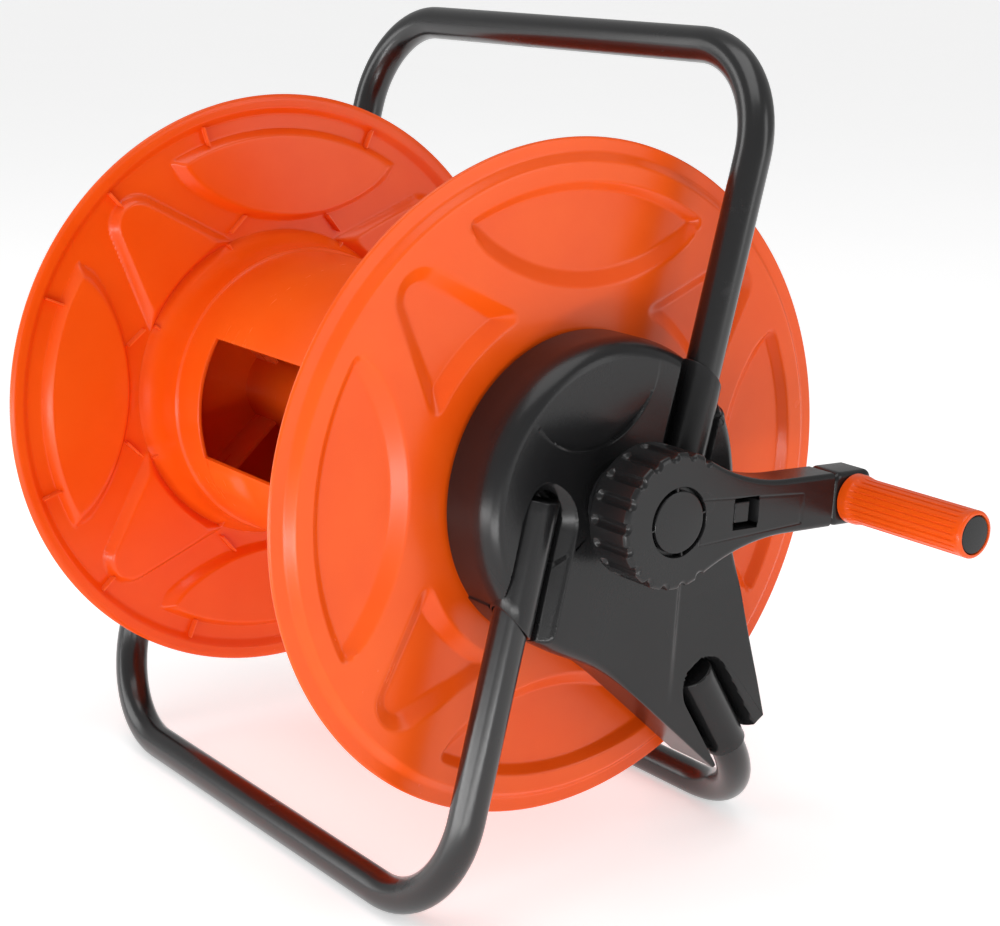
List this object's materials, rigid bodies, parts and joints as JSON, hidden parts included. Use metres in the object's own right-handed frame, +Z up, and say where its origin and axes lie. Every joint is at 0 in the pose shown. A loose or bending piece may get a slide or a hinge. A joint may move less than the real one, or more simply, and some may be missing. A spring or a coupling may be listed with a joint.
{
  "type": "portable garden hose reel",
  "caption": "Free-standing hose reel: flanged plastic spool with a hand crank and swivel water inlet, carried by two side brackets on a bent-tube stand with a carrying handle.",
  "frame": {"origin": "on the floor, under the middle of the reel's bounding box", "axes": "+X along the spool's axis towards the crank side, +Y from the front leg towards the rear leg, +Z up"},
  "size_m": [0.5706, 0.37, 0.4596],
  "materials": {
    "orange_plastic": "semi-gloss moulded",
    "black_plastic": "satin moulded",
    "black_paint": "gloss",
    "acetal": "matte",
    "zinc_steel": "zinc plated",
    "grey_connector_plastic": "satin",
    "rubber": "matte"
  },
  "bodies": {
    "stand": {"side_bracket_right": "black_plastic", "side_bracket_left": "black_plastic", "handle_tube": "black_paint", "front_leg_tube": "black_paint", "rear_leg_tube": "black_paint", "handle_screw_right": "zinc_steel", "handle_screw_left": "zinc_steel", "front_leg_screw_right": "zinc_steel", "front_leg_screw_left": "zinc_steel", "rear_leg_screw_right": "zinc_steel", "rear_leg_screw_left": "zinc_steel", "bearing_bush_right": "acetal", "bearing_bush_left": "acetal"},
    "reel": {"flange_right": "orange_plastic", "flange_left": "orange_plastic", "drum_core": "orange_plastic", "flange_screw_right_1": "zinc_steel", "flange_screw_right_2": "zinc_steel", "flange_screw_right_3": "zinc_steel", "flange_screw_left_1": "zinc_steel", "flange_screw_left_2": "zinc_steel", "flange_screw_left_3": "zinc_steel", "thrust_washer_right": "acetal", "thrust_washer_left": "acetal", "crank_arm": "black_plastic", "crank_cap": "black_plastic", "crank_screw": "zinc_steel", "crank_tip_block": "black_plastic", "grip_end_cap": "black_plastic", "water_axle": "grey_connector_plastic", "axle_o_ring": "rubber", "axle_retaining_clip": "zinc_steel", "outlet_elbow": "black_plastic", "outlet_nipple": "grey_connector_plastic"},
    "grip": {"grip_sleeve": "orange_plastic"},
    "inlet": {"inlet_swivel_body": "black_plastic", "inlet_nipple": "grey_connector_plastic", "inlet_nipple_o_ring": "rubber"}
  },
  "joints": [
    {"name": "reel_spin", "type": "hinge", "parent": "stand", "child": "reel", "pos_m": [-0.0383, 0, 0.22366], "axis": [1, 0, 0], "continuous": true},
    {"name": "grip_spin", "type": "hinge", "parent": "reel", "child": "grip", "pos_m": [0.2427, 0.12727, 0.2132], "axis": [1, 0, 0], "continuous": true},
    {"name": "inlet_swivel", "type": "hinge", "parent": "stand", "child": "inlet", "pos_m": [-0.2703, 0, 0.22366], "axis": [1, 0, 0], "continuous": true}
  ]
}
